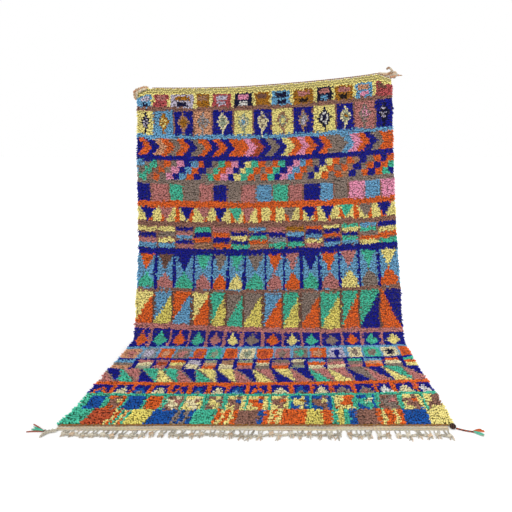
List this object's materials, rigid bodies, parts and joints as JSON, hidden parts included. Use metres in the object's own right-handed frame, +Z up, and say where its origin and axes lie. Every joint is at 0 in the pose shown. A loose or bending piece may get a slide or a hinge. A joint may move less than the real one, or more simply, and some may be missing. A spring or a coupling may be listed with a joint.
{
  "type": "hung berber pile rug",
  "caption": "Thick wool pile rug with bands of bright geometric motifs, hung by its top edge and trailing over the floor, with a knotted fringe and corner tassels.",
  "frame": {"origin": "on the floor, under the middle of the box round the whole rug", "axes": "+Z up, +X to the right as the pile is seen, the pile of the hung part faces -Y and the rug runs forward along -Y"},
  "size_m": [2.1559, 1.5001, 1.9215],
  "materials": {
    "pile_wool": "cut wool pile in many colours, matt with a soft sheen",
    "backing_weave": "flat woven wool ground, matt",
    "twined_cord": "two-ply twined wool, brown and orange, matt",
    "undyed_warp": "undyed cream yarn, matt",
    "braid_wool": "plaited brown and peach wool, matt",
    "dark_wool": "dark brown wound wool, matt",
    "tassel_wool": "loose orange, brown and green wool, matt"
  },
  "bodies": {
    "root": {"rug": "pile_wool", "top_cord": "twined_cord", "front_cord": "twined_cord", "end_fringe": "undyed_warp", "top_left_braid": "braid_wool", "top_right_bunch": "undyed_warp", "front_left_plait": "undyed_warp", "front_left_tassel": "tassel_wool", "front_right_knot": "dark_wool", "front_right_tassel": "tassel_wool"}
  },
  "joints": []
}
